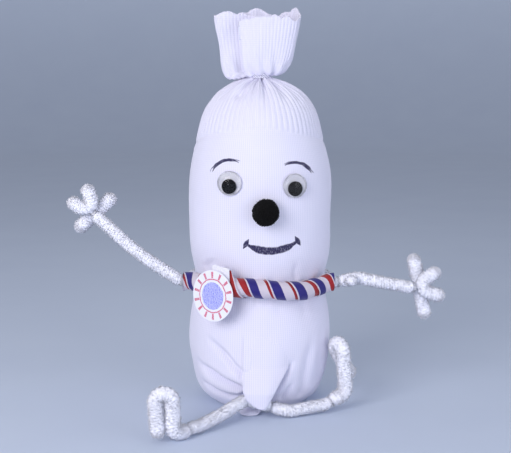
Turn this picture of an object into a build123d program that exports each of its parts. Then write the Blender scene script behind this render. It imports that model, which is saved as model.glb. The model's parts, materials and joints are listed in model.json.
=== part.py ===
from build123d import *

import os
from math import asin, cos, radians, sin, tan

# A stuffed tube sock tied off at both ends and dressed as a little sitting figure.
# Millimetres, +Z up, the face looks along -Y and the origin is the middle of the flat seat.

# Sock: half widths of the stuffed tube, and how deep it is for its width.
SEAT_HALF_WIDTH = 22.5
BELLY_HALF_WIDTH, BELLY_Z = 35.7, 31.0
NECK_HALF_WIDTH, NECK_Z = 31.4, 62.0
HEAD_HALF_WIDTH, HEAD_Z = 34.9, 95.0
CROWN_HALF_WIDTH, CROWN_Z = 26.8, 146.5
TIE_RADIUS, TIE_Z = 4.4, 161.6
DEPTH_SHARE = 0.885
KNIT = 1.2

# Cuff flared above the tie.
CUFF_TOP_Z = 194.3
CUFF_HALF_WIDTH, CUFF_HALF_DEPTH = 20.6, 9.5
CUFF_X = -1.5
# Its sections upward, as shares: of the rise, of the half width, of the half depth, and of the lean.
CUFF_SECTIONS = ((0.0, 0.6, 0.44, 2.0), (0.25, 0.78, 0.68, 1.6), (0.6, 0.92, 0.9, 1.2), (1.0, 1.0, 1.0, 1.0))
THREAD_RADIUS = 0.6

# Gathered toe end at the bottom front.
TONGUE_WIDTH, TONGUE_TOP_Z, TONGUE_TIP_Z = 21.0, 41.0, 6.2
TONGUE_THICK = 3.2
TONGUE_TIP_WIDTH, TONGUE_NARROW_RISE, TONGUE_WIDE_RISE = 2.4, 7.5, 19.0
TONGUE_X = 2.8
TAIL_WIDTH, TAIL_LENGTH, TAIL_THICK = 9.5, 9.0, 2.6
TAIL_X = -6.0

# Chenille stems: soft pile round a twisted wire.
PILE = 3.0
WIRE = 0.45
BEND_GAP = 0.3
SEAT_GAP = 0.2

# Arms lie in one upright plane in front of the neck's middle.
ARM_Y = -17.0
SHOULDER_X, SHOULDER_Z = 38.2, 64.2
# The collar stem's corners from each shoulder to the front, and how far round behind it starts.
SHOULDER_BEND, FRONT_BEND, FRONT_SHARE = 7.0, 26.0, 0.53
BACK_START = 4.0
RIBBON = 4.4
RIBBON_MOUTH = 1.5
LEFT_ELBOW, LEFT_WRIST = (-61.3, 79.6), (-78.2, 95.6)
RIGHT_ELBOW, RIGHT_FOREARM, RIGHT_WRIST = (46.0, 66.3), (60.0, 63.4), (72.6, 61.2)
SPLICE_LENGTH, SPLICE_PILE = 4.6, 2.6
FINGER_BEND = 3.2
LEFT_FINGERS = ((110.0, 16.4), (147.0, 16.0))
RIGHT_FINGERS = ((35.0, 14.0), (-21.0, 14.6))
LEFT_CROSS, RIGHT_CROSS = ((-89.2, 89.0), (-71.6, 105.2)), ((75.2, 75.6), (81.9, 45.2))

# Legs lie on the floor in front, each ending in a folded loop for a foot.
HIP_LEFT, HIP_RIGHT = (-6.5, -31.6, 9.4), (5.3, -30.6, 5.4)
LEFT_KNEE, LEFT_ANKLE = (-20.0, -44.6, 4.9), (-33.2, -56.6, 3.6)
LEFT_HEEL, LEFT_SOLE_OUTER = (-39.0, -62.6, 3.4), (-46.1, -63.2, 3.2)
LEFT_TOE_INNER, LEFT_TOE_OUTER = (-39.8, -63.4, 23.2), (-47.0, -63.8, 22.8)
RIGHT_THIGH, RIGHT_SHIN, RIGHT_ANKLE = (13.0, -31.6, 3.4), (24.0, -26.8, 3.4), (34.8, -22.6, 5.4)
RIGHT_HEEL, RIGHT_TOE_OUTER, RIGHT_TOE_INNER = (42.3, -20.0, 9.0), (40.2, -19.2, 33.4), (36.2, -12.4, 32.4)
RIGHT_CUT_END = (45.4, -13.6, 15.6)

# Face.
EYE_RADIUS, EYE_BACK_THICK = 5.85, 0.5
EYE_Z, EYE_DROP = 113.6, 1.2
LEFT_EYE_X, RIGHT_EYE_X = -14.2, 15.9
EYE_TURN = 15.0
EYE_STAND_OFF = 0.75
BLISTER_RADIUS, BLISTER_HEIGHT, BLISTER_SIDE = 5.35, 3.1, 1.3
BLISTER_WALL, FLANGE = 0.3, 0.4
PUPIL_RADIUS, PUPIL_THICK, PUPIL_PLAY = 3.5, 0.7, 0.2
GLUE_RADIUS = 3.6
NOSE_RADIUS, NOSE_X, NOSE_Z = 6.3, 2.5, 100.7
NOSE_SINK = 0.9

# Paper badge hung on a tab over the ribbon.
BADGE_WIDTH, BADGE_HEIGHT, CARD = 20.4, 24.8, 0.45
BADGE_X, BADGE_TOP_Z = -22.2, 73.4
BADGE_STAND_OFF, BADGE_TURN = 6.211, -20.0
TAB_WIDTH, TAB_LENGTH, TAB_TILT = 7.4, 6.4, 45.0


def between(low, high, height_share, width_share):
    """A section part of the way up from one section to another, as (z, half width)."""
    (low_z, low_width), (high_z, high_width) = low, high
    return (
        low_z + height_share * (high_z - low_z),
        low_width + width_share * (high_width - low_width),
    )


def sock_sections():
    """Heights and half widths of the stuffed tube, from the seat to the tie."""
    seat, belly, neck = (0, SEAT_HALF_WIDTH), (BELLY_Z, BELLY_HALF_WIDTH), (NECK_Z, NECK_HALF_WIDTH)
    head, crown, tied = (HEAD_Z, HEAD_HALF_WIDTH), (CROWN_Z, CROWN_HALF_WIDTH), (TIE_Z, TIE_RADIUS)
    return [
        seat,
        between(seat, belly, 0.16, 0.49),
        between(seat, belly, 0.45, 0.82),
        belly,
        between(belly, neck, 0.61, 0.46),
        neck,
        between(neck, head, 0.38, 0.71),
        head,
        between(head, crown, 0.43, 0.09),
        between(head, crown, 0.77, 0.53),
        crown,
        between(crown, tied, 0.57, 0.33),
        between(crown, tied, 0.87, 0.68),
        tied,
    ]


def sock_form(inset=0.0):
    """The stuffed tube from seat to tie, drawn in by inset all round."""
    sections = []
    for z, half_width in sock_sections():
        level = min(max(z, inset), TIE_Z - inset)
        sections.append(oval(2 * (half_width - inset), 2 * (half_width - inset) * DEPTH_SHARE, 0, 0, level))
    return loft(sections)


def front_of(solid, x, z):
    """The point of the solid's front surface at x and z."""
    hits = solid.find_intersection_points(Axis((x, -200, z), (0, 1, 0)))
    return min((point for point, normal in hits), key=lambda point: point.Y)


def oval(width, depth, x, y, z):
    """A level oval, the section of a soft piece."""
    return Pos(x, y, z) * Ellipse(width / 2, depth / 2)


def tongue():
    """The fold of knit that hangs over the gather at the front, clear of the stem behind it."""
    belly = -BELLY_HALF_WIDTH * DEPTH_SHARE
    hanging = HIP_LEFT[1] - PILE - SEAT_GAP - TONGUE_THICK / 2
    return loft(
        [
            oval(TONGUE_TIP_WIDTH, TONGUE_THICK * 0.7, 0.4, hanging, TONGUE_TIP_Z),
            oval(TONGUE_WIDTH * 0.55, TONGUE_THICK, 1.2, hanging + 0.3, TONGUE_TIP_Z + TONGUE_NARROW_RISE),
            oval(TONGUE_WIDTH, TONGUE_THICK, TONGUE_X, belly - 0.9, TONGUE_TIP_Z + TONGUE_WIDE_RISE),
            oval(TONGUE_WIDTH * 0.9, TONGUE_THICK, TONGUE_X, belly + 1.9, TONGUE_TOP_Z),
        ]
    )


def tail():
    """The end of the sock that shows under the gather, lying on the floor."""
    height = TAIL_THICK / 2
    reach = HIP_LEFT[1] + PILE - SEAT_GAP
    sections = []
    for share, y in ((1.0, reach + TAIL_LENGTH), (1.0, reach + 2.0), (0.7, reach)):
        face = Ellipse(TAIL_WIDTH / 2 * share, height * share)
        sections.append(Plane(origin=(TAIL_X, y, height), x_dir=(1, 0, 0), z_dir=(0, -1, 0)) * face)
    return loft(sections)


def stem_path(points):
    """Straight runs joined by the largest tangent arcs that their lengths allow."""
    points = [Vector(*point) for point in points]
    if len(points) == 2:
        return Line(*points)
    radii = []
    for before, corner, after in zip(points, points[1:], points[2:]):
        turn = (corner - before).get_angle(after - corner)
        run = min((corner - before).length, (after - corner).length)
        radii.append(0.45 * run / tan(radians(turn / 2)))
    return FilletPolyline(*points, radius=radii)


def tube(path, radius):
    """A round bar swept along a path."""
    return sweep(Plane(origin=path @ 0, z_dir=path % 0) * Circle(radius), path=path)


def stem(path, ball_start=False, ball_end=False, pile=PILE):
    """A chenille stem: its pile with a ball where it bends, and the wire inside it."""
    wire = tube(path, WIRE)
    fluff = tube(path, pile)
    if ball_start:
        fluff += Pos(path @ 0) * Sphere(pile)
    if ball_end:
        fluff += Pos(path @ 1) * Sphere(pile)
    return fluff - wire, wire


def beyond(joint, towards, distance=PILE + BEND_GAP):
    """The point that lies a distance from a joint on the way to another point."""
    joint, towards = Vector(*joint), Vector(*towards)
    return tuple(joint + (towards - joint).normalized() * distance)


def in_arm_plane(point, behind=0.0):
    """A point given as (x, z), in the arms' plane or behind it."""
    return (point[0], ARM_Y + behind, point[1])


def neck_path():
    """The way of the stem across the front of the neck, from shoulder to shoulder."""
    front = -(NECK_HALF_WIDTH * DEPTH_SHARE + SEAT_GAP + RIBBON)
    bend = SHOULDER_X - SHOULDER_BEND
    across = FRONT_SHARE * bend
    corners = [(-bend, ARM_Y), (-across, front), (across, front), (bend, ARM_Y)]
    ends = [(-SHOULDER_X, ARM_Y), *corners, (SHOULDER_X, ARM_Y)]
    points = [(x, y, SHOULDER_Z) for x, y in ends]
    return FilletPolyline(*points, radius=[SHOULDER_BEND, FRONT_BEND, FRONT_BEND, SHOULDER_BEND])


def cut_ends(path, length):
    """The path without its last stretch at both ends."""
    share = length / path.length
    return path.trim(share, 1 - share)


def back_stem():
    """The same stem's turn round the back of the neck."""
    half_width = NECK_HALF_WIDTH + SEAT_GAP + PILE
    half_depth = NECK_HALF_WIDTH * DEPTH_SHARE + SEAT_GAP + PILE
    sweep_angle = 180 - 2 * BACK_START
    arc = EllipticalCenterArc((0, 0), half_width, half_depth, start_angle=BACK_START, arc_size=sweep_angle)
    return tube(Pos(0, 0, NECK_Z) * arc, PILE)


def tied_neck():
    """The gathered knit under the thread, with the ball that the cuff flops on."""
    root = TIE_Z - KNIT / 2
    stalk = Pos(0, 0, root) * extrude(Circle(TIE_RADIUS), flop_z() - root)
    return stalk + Pos(0, 0, flop_z()) * Sphere(TIE_RADIUS)


def flop_z():
    """The height of the bend between the head and the cuff."""
    return TIE_Z + 4 * THREAD_RADIUS


def tie():
    """Thread wound twice round the gathered knit."""
    ring = Torus(TIE_RADIUS + THREAD_RADIUS, THREAD_RADIUS)
    return [Pos(0, 0, TIE_Z + turn * THREAD_RADIUS) * ring for turn in (1.4, 3.4)]


def cuff():
    """The ribbed cuff that fans out above the tie."""
    low = flop_z() + TIE_RADIUS + BEND_GAP
    sections = []
    for rise, width, depth, lean in CUFF_SECTIONS:
        level = low + rise * (CUFF_TOP_Z - low)
        sections.append(
            oval(2 * width * CUFF_HALF_WIDTH, 2 * depth * CUFF_HALF_DEPTH, lean * CUFF_X, 0, level)
        )
    return loft(sections)


def eye_frame(x, z, turn, body):
    """The plane of an eye's back, square to its axis and clear of the knit behind its rim."""
    seat = front_of(body, x, z)
    outward = Vector(sin(radians(turn)), -cos(radians(turn)), 0)
    origin = seat + outward * EYE_STAND_OFF
    return Plane(origin=origin, x_dir=(cos(radians(turn)), sin(radians(turn)), 0), z_dir=outward)


def crown(radius, side, height):
    """The arc from a blister's upright side to the top of its cap."""
    rise = height - side
    ball = (radius**2 + rise**2) / (2 * rise)
    half = asin(radius / ball) / 2
    middle = (ball * sin(half), height - ball + ball * cos(half))
    return ThreePointArc((radius, side), middle, (0, height))


def eye_dome():
    """A clear blister moulded with a flange, open at the back."""
    inner = BLISTER_RADIUS - BLISTER_WALL
    foot = Polyline(
        (inner, BLISTER_SIDE),
        (inner, 0),
        (EYE_RADIUS, 0),
        (EYE_RADIUS, FLANGE),
        (BLISTER_RADIUS, FLANGE),
        (BLISTER_RADIUS, BLISTER_SIDE),
    )
    outside = crown(BLISTER_RADIUS, BLISTER_SIDE, BLISTER_HEIGHT)
    inside = crown(inner, BLISTER_SIDE, BLISTER_HEIGHT - BLISTER_WALL)
    top = Line((0, BLISTER_HEIGHT - BLISTER_WALL), (0, BLISTER_HEIGHT))
    return revolve(Plane.XZ * make_face([*foot.edges(), outside, top, inside]), Axis.Z)


def eye(side, x, z, turn, body):
    """White back, glue under it, clear dome and the loose pupil at the bottom of the dome."""
    frame = eye_frame(x, z, turn, body)
    back = extrude(Circle(EYE_RADIUS), EYE_BACK_THICK)
    drop = BLISTER_RADIUS - BLISTER_WALL - PUPIL_PLAY - PUPIL_RADIUS
    pupil = Pos(0, -drop, EYE_BACK_THICK + PUPIL_PLAY) * extrude(Circle(PUPIL_RADIUS), PUPIL_THICK)
    glue = frame * (Pos(0, 0, -3) * extrude(Circle(GLUE_RADIUS), 3)) - body
    return {
        f"{side}_eye_back": frame * back,
        f"{side}_eye_dome": frame * (Pos(0, 0, EYE_BACK_THICK) * eye_dome()),
        f"{side}_pupil": frame * pupil,
        f"{side}_eye_glue": glue,
    }


def nose(body):
    """A pompom pressed against the knit."""
    seat = front_of(body, NOSE_X, NOSE_Z)
    return Pos(seat - Vector(0, NOSE_RADIUS - NOSE_SINK, 0)) * Sphere(NOSE_RADIUS) - body


def badge():
    """An oval of card that hangs from its top edge, and the tab folded over the ribbon."""
    hang = Plane(
        origin=(BADGE_X, -(NECK_HALF_WIDTH * DEPTH_SHARE + BADGE_STAND_OFF), BADGE_TOP_Z),
        x_dir=(cos(radians(BADGE_TURN)), sin(radians(BADGE_TURN)), 0),
        z_dir=(sin(radians(BADGE_TURN)), -cos(radians(BADGE_TURN)), 0),
    )
    oval_card = Pos(0, -BADGE_HEIGHT / 2, 0) * Ellipse(BADGE_WIDTH / 2, BADGE_HEIGHT / 2)
    card = hang * extrude(oval_card, CARD)
    strip = Box(TAB_WIDTH, CARD, TAB_LENGTH, align=(Align.CENTER, Align.CENTER, Align.MAX))
    tab = hang * (Pos(0, BEND_GAP, -BEND_GAP) * Rot(-TAB_TILT, 0, 0) * strip)
    return card, tab


def hand(side, wrist, fingers, cross):
    """A folded stem for two fingers, given by angle and length, and a second stem behind it."""
    (first, first_length), (second, second_length) = fingers
    half = abs(first - second) / 2
    fold_reach = FINGER_BEND / sin(radians(half)) - FINGER_BEND - PILE
    apex = Vector(*wrist) + Vector(*toward((first + second) / 2, PILE + BEND_GAP - fold_reach))
    tips = [apex + Vector(*toward(first, first_length)), apex + Vector(*toward(second, second_length))]
    fork_points = [in_arm_plane((point.X, point.Y)) for point in (tips[0], apex, tips[1])]
    fork = FilletPolyline(*fork_points, radius=FINGER_BEND)
    behind = 2 * PILE + SEAT_GAP
    bar = Line(*(in_arm_plane(end, behind) for end in cross))
    parts = {}
    for name, path in (("fork", fork), ("cross", bar)):
        parts[f"{side}_hand_{name}"], parts[f"{side}_hand_{name}_wire"] = stem(path)
    return parts


def toward(angle, length):
    """A step of a length at an angle in the arms' plane, as (x, z)."""
    return (length * cos(radians(angle)), length * sin(radians(angle)))


def arms():
    """Both arms, bent at shoulder and wrist."""
    left_shoulder, right_shoulder = (-SHOULDER_X, SHOULDER_Z), (SHOULDER_X, SHOULDER_Z)
    left = [in_arm_plane(point) for point in (left_shoulder, LEFT_ELBOW, LEFT_WRIST)]
    right = [in_arm_plane(point) for point in (right_shoulder, RIGHT_ELBOW, RIGHT_FOREARM, RIGHT_WRIST)]
    parts = {}
    for side, points in (("left", left), ("right", right)):
        points[0] = beyond(points[0], points[1])
        parts[f"{side}_arm_pile"], parts[f"{side}_arm_wire"] = stem(stem_path(points), ball_end=True)
    offset = Vector(0, -(PILE + SPLICE_PILE + BEND_GAP / 3), 0)
    root = Vector(*beyond(in_arm_plane(right_shoulder), in_arm_plane(RIGHT_ELBOW), PILE + 2 * BEND_GAP))
    run = (Vector(*in_arm_plane(RIGHT_ELBOW)) - root).normalized() * SPLICE_LENGTH
    splice_path = Line(root + offset, root + offset + run)
    parts["right_arm_splice"], parts["right_splice_wire"] = stem(splice_path, pile=SPLICE_PILE)
    parts |= hand("left", LEFT_WRIST, LEFT_FINGERS, LEFT_CROSS)
    parts |= hand("right", RIGHT_WRIST, RIGHT_FINGERS, RIGHT_CROSS)
    return parts


def legs():
    """The stem through the gather, both legs and both folded feet."""
    hip = Line(HIP_LEFT, HIP_RIGHT)
    left = [beyond(HIP_LEFT, LEFT_KNEE), LEFT_KNEE, LEFT_ANKLE]
    right = [beyond(HIP_RIGHT, RIGHT_THIGH), RIGHT_THIGH, RIGHT_SHIN, RIGHT_ANKLE]
    left_foot = [beyond(LEFT_ANKLE, LEFT_HEEL), LEFT_HEEL, LEFT_TOE_INNER, LEFT_TOE_OUTER, LEFT_SOLE_OUTER]
    right_foot = [beyond(RIGHT_ANKLE, RIGHT_HEEL), RIGHT_HEEL, RIGHT_TOE_OUTER, RIGHT_TOE_INNER, RIGHT_CUT_END]
    parts = {}
    parts["hip_stem"], parts["hip_wire"] = stem(hip, ball_start=True, ball_end=True)
    for side, leg, foot in (("left", left, left_foot), ("right", right, right_foot)):
        parts[f"{side}_leg_pile"], parts[f"{side}_leg_wire"] = stem(stem_path(leg), ball_end=True)
        path = FilletPolyline(*foot, radius=FINGER_BEND)
        parts[f"{side}_foot_loop"], parts[f"{side}_foot_wire"] = stem(path)
    return parts


def build():
    body = sock_form()
    stuffing = sock_form(KNIT)
    parts = {"stuffing": stuffing}
    parts["sock_body"] = body + tied_neck() + tongue() + tail() - stuffing
    parts["sock_cuff"] = cuff()
    parts["top_tie"] = tie()
    path = neck_path()
    parts["collar_stem"], parts["collar_wire"] = stem(path, ball_start=True, ball_end=True)
    parts["neck_ribbon"] = tube(cut_ends(path, RIBBON_MOUTH), RIBBON) - tube(path, PILE)
    parts["collar_back"] = back_stem()
    parts |= eye("left", LEFT_EYE_X, EYE_Z, -EYE_TURN, body)
    parts |= eye("right", RIGHT_EYE_X, EYE_Z - EYE_DROP, EYE_TURN, body)
    parts["nose_pompom"] = nose(body)
    parts["badge_card"], parts["badge_tab"] = badge()
    parts |= arms()
    parts |= legs()
    return parts


def write(parts, folder="parts"):
    os.makedirs(folder, exist_ok=True)
    for name, shape in parts.items():
        solids = shape if isinstance(shape, list) else [shape]
        pieces = [solid for item in solids for solid in item.solids()]
        export_step(pieces[0] if len(pieces) == 1 else Compound(children=pieces), f"{folder}/{name}.step")


write(build())
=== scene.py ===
"""The looks of a stuffed sock figure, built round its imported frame. Lengths are millimetres here."""
import heapq
import json
import math

import bmesh
import bpy
import numpy as np
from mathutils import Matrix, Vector
from mathutils.bvhtree import BVHTree


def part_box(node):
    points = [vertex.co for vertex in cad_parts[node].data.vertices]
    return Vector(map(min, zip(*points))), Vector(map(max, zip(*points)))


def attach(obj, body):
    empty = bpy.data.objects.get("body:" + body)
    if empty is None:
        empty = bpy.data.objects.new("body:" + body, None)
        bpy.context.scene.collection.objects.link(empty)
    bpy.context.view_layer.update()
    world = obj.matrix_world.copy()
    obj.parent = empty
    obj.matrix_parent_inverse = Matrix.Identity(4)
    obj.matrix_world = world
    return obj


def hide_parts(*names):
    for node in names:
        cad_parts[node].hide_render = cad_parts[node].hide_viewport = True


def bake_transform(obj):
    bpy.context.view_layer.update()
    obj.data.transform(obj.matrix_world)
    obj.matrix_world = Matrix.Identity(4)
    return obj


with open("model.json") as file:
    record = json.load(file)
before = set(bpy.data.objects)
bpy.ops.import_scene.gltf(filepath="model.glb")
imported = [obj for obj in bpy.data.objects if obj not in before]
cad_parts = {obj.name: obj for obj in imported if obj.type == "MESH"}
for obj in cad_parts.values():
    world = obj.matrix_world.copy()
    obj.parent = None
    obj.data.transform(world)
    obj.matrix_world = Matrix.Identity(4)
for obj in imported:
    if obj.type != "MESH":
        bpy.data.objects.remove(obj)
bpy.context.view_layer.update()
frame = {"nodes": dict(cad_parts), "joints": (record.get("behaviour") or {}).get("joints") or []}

MM = 0.001
UP = np.array([0.0, 0.0, 1.0])

# The photographer stands in front, a little above the face.
CAMERA_PLACE, CAMERA_TARGET, LENS = (-2.25, -493.84, 166.82), (-2.25, 0.0, 88.6), 70.45

# Knit.
RIBS, WALES_PER_RIB, COLUMNS_PER_RIB = 66, 3, 6
RIB_DEPTH = 0.42
RIB_EDGE_Z, RIB_EDGE_DROP = 131.0, 7.0
SEAT_ROUND = 2.5
STITCH_GAP = 1.0
FILL_INSET, FILL_SHARE = 4.5, 0.85
WALE_WIDTH, FIRST_WALE = 1.05, 400
CUFF_THICK = 0.9

# Chenille.
CORE, RIDGE, RIDGE_PITCH = 2.7, 0.22, 1.35
TUFTS_PER_MM, TUFT_REACH, TUFT_HALF_WIDTH = 62, 3.25, 0.18
PILE, HAND_PILE, FOOT_PILE, SPLICE_PILE = 3.0, 3.4, 3.6, 2.7
END_TUFTS, END_DOME = 240, 2.6
ARM_OVERLAP = 2.2
WIRE_STEP = 1.4

# Ribbon.
RIBBON_WIDTH, RIBBON_PITCH, RIBBON_THICK = 14.6, 10.4, 0.28
RIBBON_RADIUS, RIBBON_LAP, RIBBON_START = 4.2, 0.42, 2.6

# Pompom.
STRANDS, STRAND_HALF_WIDTH = 5200, 0.17

# Marker lines on the face. Each brow is a stroke and a thinner one over it.
BROW_RADIUS, BROW_HALF_WIDTH, UPPER_BROW_RADIUS, UPPER_BROW_HALF_WIDTH = 9.6, 0.62, 10.6, 0.36
SMILE_RADIUS, SMILE_HALF_WIDTH, CORNER_HALF_WIDTH, SMILE_TURNS = 21.4, 1.8, 1.1, (238, 306)

# Badge.
RED_STROKES, CARD_THICK, TAB_THICK = 14, 0.42, 0.3


def srgb(red, green, blue):
    """A colour given as it looks on a screen, from 0 to 255, as the shader wants it."""
    return tuple((value / 255) ** 2.2 for value in (red, green, blue)) + (1.0,)


# ---------------------------------------------------------------- materials


def operator(name):
    return lambda self, *others: self.look.math(name, self, *others)


class Value:
    """A number, point or colour that a material's nodes work out. It is used as a plain number is."""

    __add__, __sub__, __mul__ = operator("ADD"), operator("SUBTRACT"), operator("MULTIPLY")
    __truediv__, __pow__, __abs__ = operator("DIVIDE"), operator("POWER"), operator("ABSOLUTE")
    sine, fraction, root = operator("SINE"), operator("FRACT"), operator("SQRT")
    greater, angle = operator("MAXIMUM"), operator("ARCTAN2")

    def __init__(self, look, socket):
        self.look, self.socket = look, socket

    def away(self, other):
        """The distance made by this run and another square to it."""
        return (self * self + other * other).root()

    def ramp(self, low, high, start=0.0, end=1.0):
        """The value mapped smoothly from low and high to start and end."""
        inputs = {"Value": self, "From Min": low, "From Max": high, "To Min": start, "To Max": end}
        return self.look.add("MapRange", inputs, interpolation_type="SMOOTHSTEP")

    def within(self, low, high, soft):
        """1 between low and high and 0 outside, with soft edges that wide."""
        return self.ramp(low, low + soft) * self.ramp(high, high + soft, 1.0, 0.0)

    def noise(self, scale, detail=2.0):
        """Noise at this point, whose lumps are about a scale across."""
        return self.look.add("TexNoise", {"Vector": self, "Scale": 1 / scale, "Detail": detail})

    def moved(self, operation, by):
        return self.look.add("VectorMath", {0: self, 1: by}, operation=operation)


class Look:
    """A material whose nodes are added one at a time."""

    def __init__(self, name, colour, roughness, **finish):
        self.material = bpy.data.materials.new(name)
        self.material.use_nodes = True
        self.tree = self.material.node_tree
        self.shader = self.tree.nodes["Principled BSDF"]
        self.shader.inputs["Base Color"].default_value = colour
        self.shader.inputs["Roughness"].default_value = roughness
        for socket, value in finish.items():
            self.shader.inputs[socket.replace("_", " ")].default_value = value

    def add(self, kind, inputs=(), output=0, **settings):
        """A node of that kind, with its inputs joined or set, and one of its outputs."""
        made = self.tree.nodes.new("ShaderNode" + kind)
        for name, value in settings.items():
            setattr(made, name, value)
        for key, value in dict(inputs).items():
            self.join(value, made.inputs[key])
        return Value(self, made.outputs[output])

    def join(self, value, socket):
        if isinstance(value, Value):
            self.tree.links.new(value.socket, socket)
        else:
            socket.default_value = value

    def math(self, operation, *values):
        return self.add("Math", dict(enumerate(values)), operation=operation)

    def split(self, vector):
        node = self.tree.nodes.new("ShaderNodeSeparateXYZ")
        self.join(vector, node.inputs[0])
        return [Value(self, output) for output in node.outputs]

    def place(self):
        """The point on the piece at rest, in millimetres."""
        at = self.add("TexCoord", output="Object")
        return self.add("VectorMath", {0: at, "Scale": 1 / MM}, operation="SCALE")

    def flat_place(self):
        """How far across and up the piece's own UVs say that a point is."""
        return self.split(self.add("TexCoord", output="UV"))[:2]

    def mix(self, share, first, second):
        """Two colours mixed by a share."""
        return self.add("Mix", {0: share, 6: first, 7: second}, output=2, data_type="RGBA")

    def colour(self, value):
        self.join(value, self.shader.inputs["Base Color"])

    def blotched(self, noise, dark, light, low=0.3, high=0.7):
        """Colour that wanders between two as a noise does."""
        self.colour(self.mix(noise.ramp(low, high), dark, light))

    def bump(self, height, distance, strength=1.0):
        """Height, from 0 to 1, as a bump that many millimetres deep."""
        inputs = {"Height": height, "Distance": distance * MM, "Strength": strength}
        self.join(self.add("Bump", inputs), self.shader.inputs["Normal"])


def knit_height(look):
    """Upright columns of small V-shaped stitches, from UVs that count wales across and millimetres up."""
    across, up = look.flat_place()
    column = abs((across * math.pi).sine()) ** 0.6
    slant = abs(across.fraction() - 0.5)
    loop = ((up / STITCH_GAP + slant * 0.9) * math.tau).sine()
    return column * 0.72 + (loop * 0.14 + 0.14)


def ink_arc(look, place, centre, radius, turns, half_width, seed):
    """How much ink lies in one arc drawn with a dry marker. The arc goes between two angles, in degrees."""
    x, _, z = look.split(place)
    right, above = x - centre[0], z - centre[1]
    middle, reach = math.radians(sum(turns) / 2), math.radians(abs(turns[1] - turns[0]) / 2)
    share = abs(look.math("WRAP", above.angle(right) - middle, math.pi, -math.pi)) / reach
    wobble = place.moved("ADD", (seed, 0, 0)).noise(2.4) * 0.9 - 0.45
    spread = abs(right.away(above) - radius + wobble) / share.ramp(0.45, 1.0, half_width, half_width * 0.3)
    return spread.ramp(0.75, 1.2, 1.0, 0.0) * share.ramp(0.97, 1.03, 1.0, 0.0)


def ink_dash(look, place, start, end, half_width):
    """How much ink lies in one short straight stroke, thick in its middle."""
    x, _, z = look.split(place)
    run = np.subtract(end, start)
    length = float(np.hypot(*run))
    along_x, along_z = (float(step) / length for step in run)
    right, above = x - start[0], z - start[1]
    share = abs((right * along_x + above * along_z) * (2 / length) - 1.0)
    spread = abs(above * along_x - right * along_z) / share.ramp(0.2, 1.0, half_width, half_width * 0.25)
    return spread.ramp(0.7, 1.2, 1.0, 0.0) * share.ramp(0.92, 1.08, 1.0, 0.0)


# The darker knit colour is both painted shade in the stitch grooves and the tone of random blotches.
KNIT_COLOUR, KNIT_PAINTED_SHADE_AND_BLOTCH = srgb(233, 231, 248), srgb(214, 215, 237)
INK = srgb(30, 22, 72)


def knit_look(face=False):
    """Fine white cotton knit, with brows and a smile drawn on it in marker where it is the face."""
    name = "sock_knit_drawn" if face else "sock_knit"
    look = Look(name, KNIT_COLOUR, 0.88, Sheen_Weight=0.25, Sheen_Roughness=0.6)
    place, height = look.place(), knit_height(look)
    # Painted shade: the colour darkens down in the grooves between the stitches, from the same heights as
    # the bump.
    colour = look.mix(height.ramp(0.1, 0.75), KNIT_PAINTED_SHADE_AND_BLOTCH, KNIT_COLOUR)
    colour = look.mix(place.noise(14.0).ramp(0.3, 0.8, 0.0, 0.12), colour, KNIT_PAINTED_SHADE_AND_BLOTCH)
    if face:
        colour = look.mix(drawing(look, place, height), colour, INK)
    look.colour(colour)
    look.bump(place.noise(0.5, 3.0) * 0.25 + height, 0.16, 0.45)
    return look.material


def drawing(look, place, height):
    """Both brows over the eyes and a wide smile under the nose, as one share of ink."""
    nose = middle_of("nose_pompom")
    x, z = nose[0] + 2.4, nose[2] + 2.4
    ink = ink_arc(look, place, (x, z), SMILE_RADIUS, SMILE_TURNS, SMILE_HALF_WIDTH, 90.0)
    for turn, lean in zip(SMILE_TURNS, (-1.0, 1.0)):
        right = x + SMILE_RADIUS * math.cos(math.radians(turn))
        up = z + SMILE_RADIUS * math.sin(math.radians(turn))
        start, end = (right - lean, up + 2.4), (right + lean * 1.6, up - 2.2)
        ink = ink.greater(ink_dash(look, place, start, end, CORNER_HALF_WIDTH))
    for seed, side, lean, turns in ((0.0, "left", 0.5, (66, 156)), (40.0, "right", -0.5, (26, 116))):
        eye = middle_of(f"{side}_eye_back")
        x, z = eye[0] + lean, eye[2] + 1.0
        brow = ink_arc(look, place, (x, z), BROW_RADIUS, turns, BROW_HALF_WIDTH, seed)
        upper = (x, z - 0.5), UPPER_BROW_RADIUS, turns, UPPER_BROW_HALF_WIDTH, seed + 20
        ink = ink.greater(brow).greater(ink_arc(look, place, *upper))
    dry = place.moved("MULTIPLY", (1.0, 1.0, 0.5)).noise(0.55, 3.0).ramp(0.34, 0.5, 0.8, 1.0)
    front = look.math("LESS_THAN", look.split(place)[1], -10.0)
    return ink * front * (dry * height.ramp(0.05, 0.5, 0.86, 1.0))


def chenille_look():
    """White pile. A faint glow stands in for the light that its fibres scatter."""
    glow = {"Emission_Color": srgb(214, 222, 255), "Emission_Strength": 0.09}
    look = Look("chenille", srgb(244, 244, 254), 0.92, Sheen_Weight=0.35, Sheen_Roughness=0.5, **glow)
    place = look.place()
    look.blotched(place.noise(0.5), srgb(238, 239, 252), srgb(250, 250, 255), high=0.75)
    look.bump(place.noise(0.35, 3.0), 0.18, 0.7)
    return look.material


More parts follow.
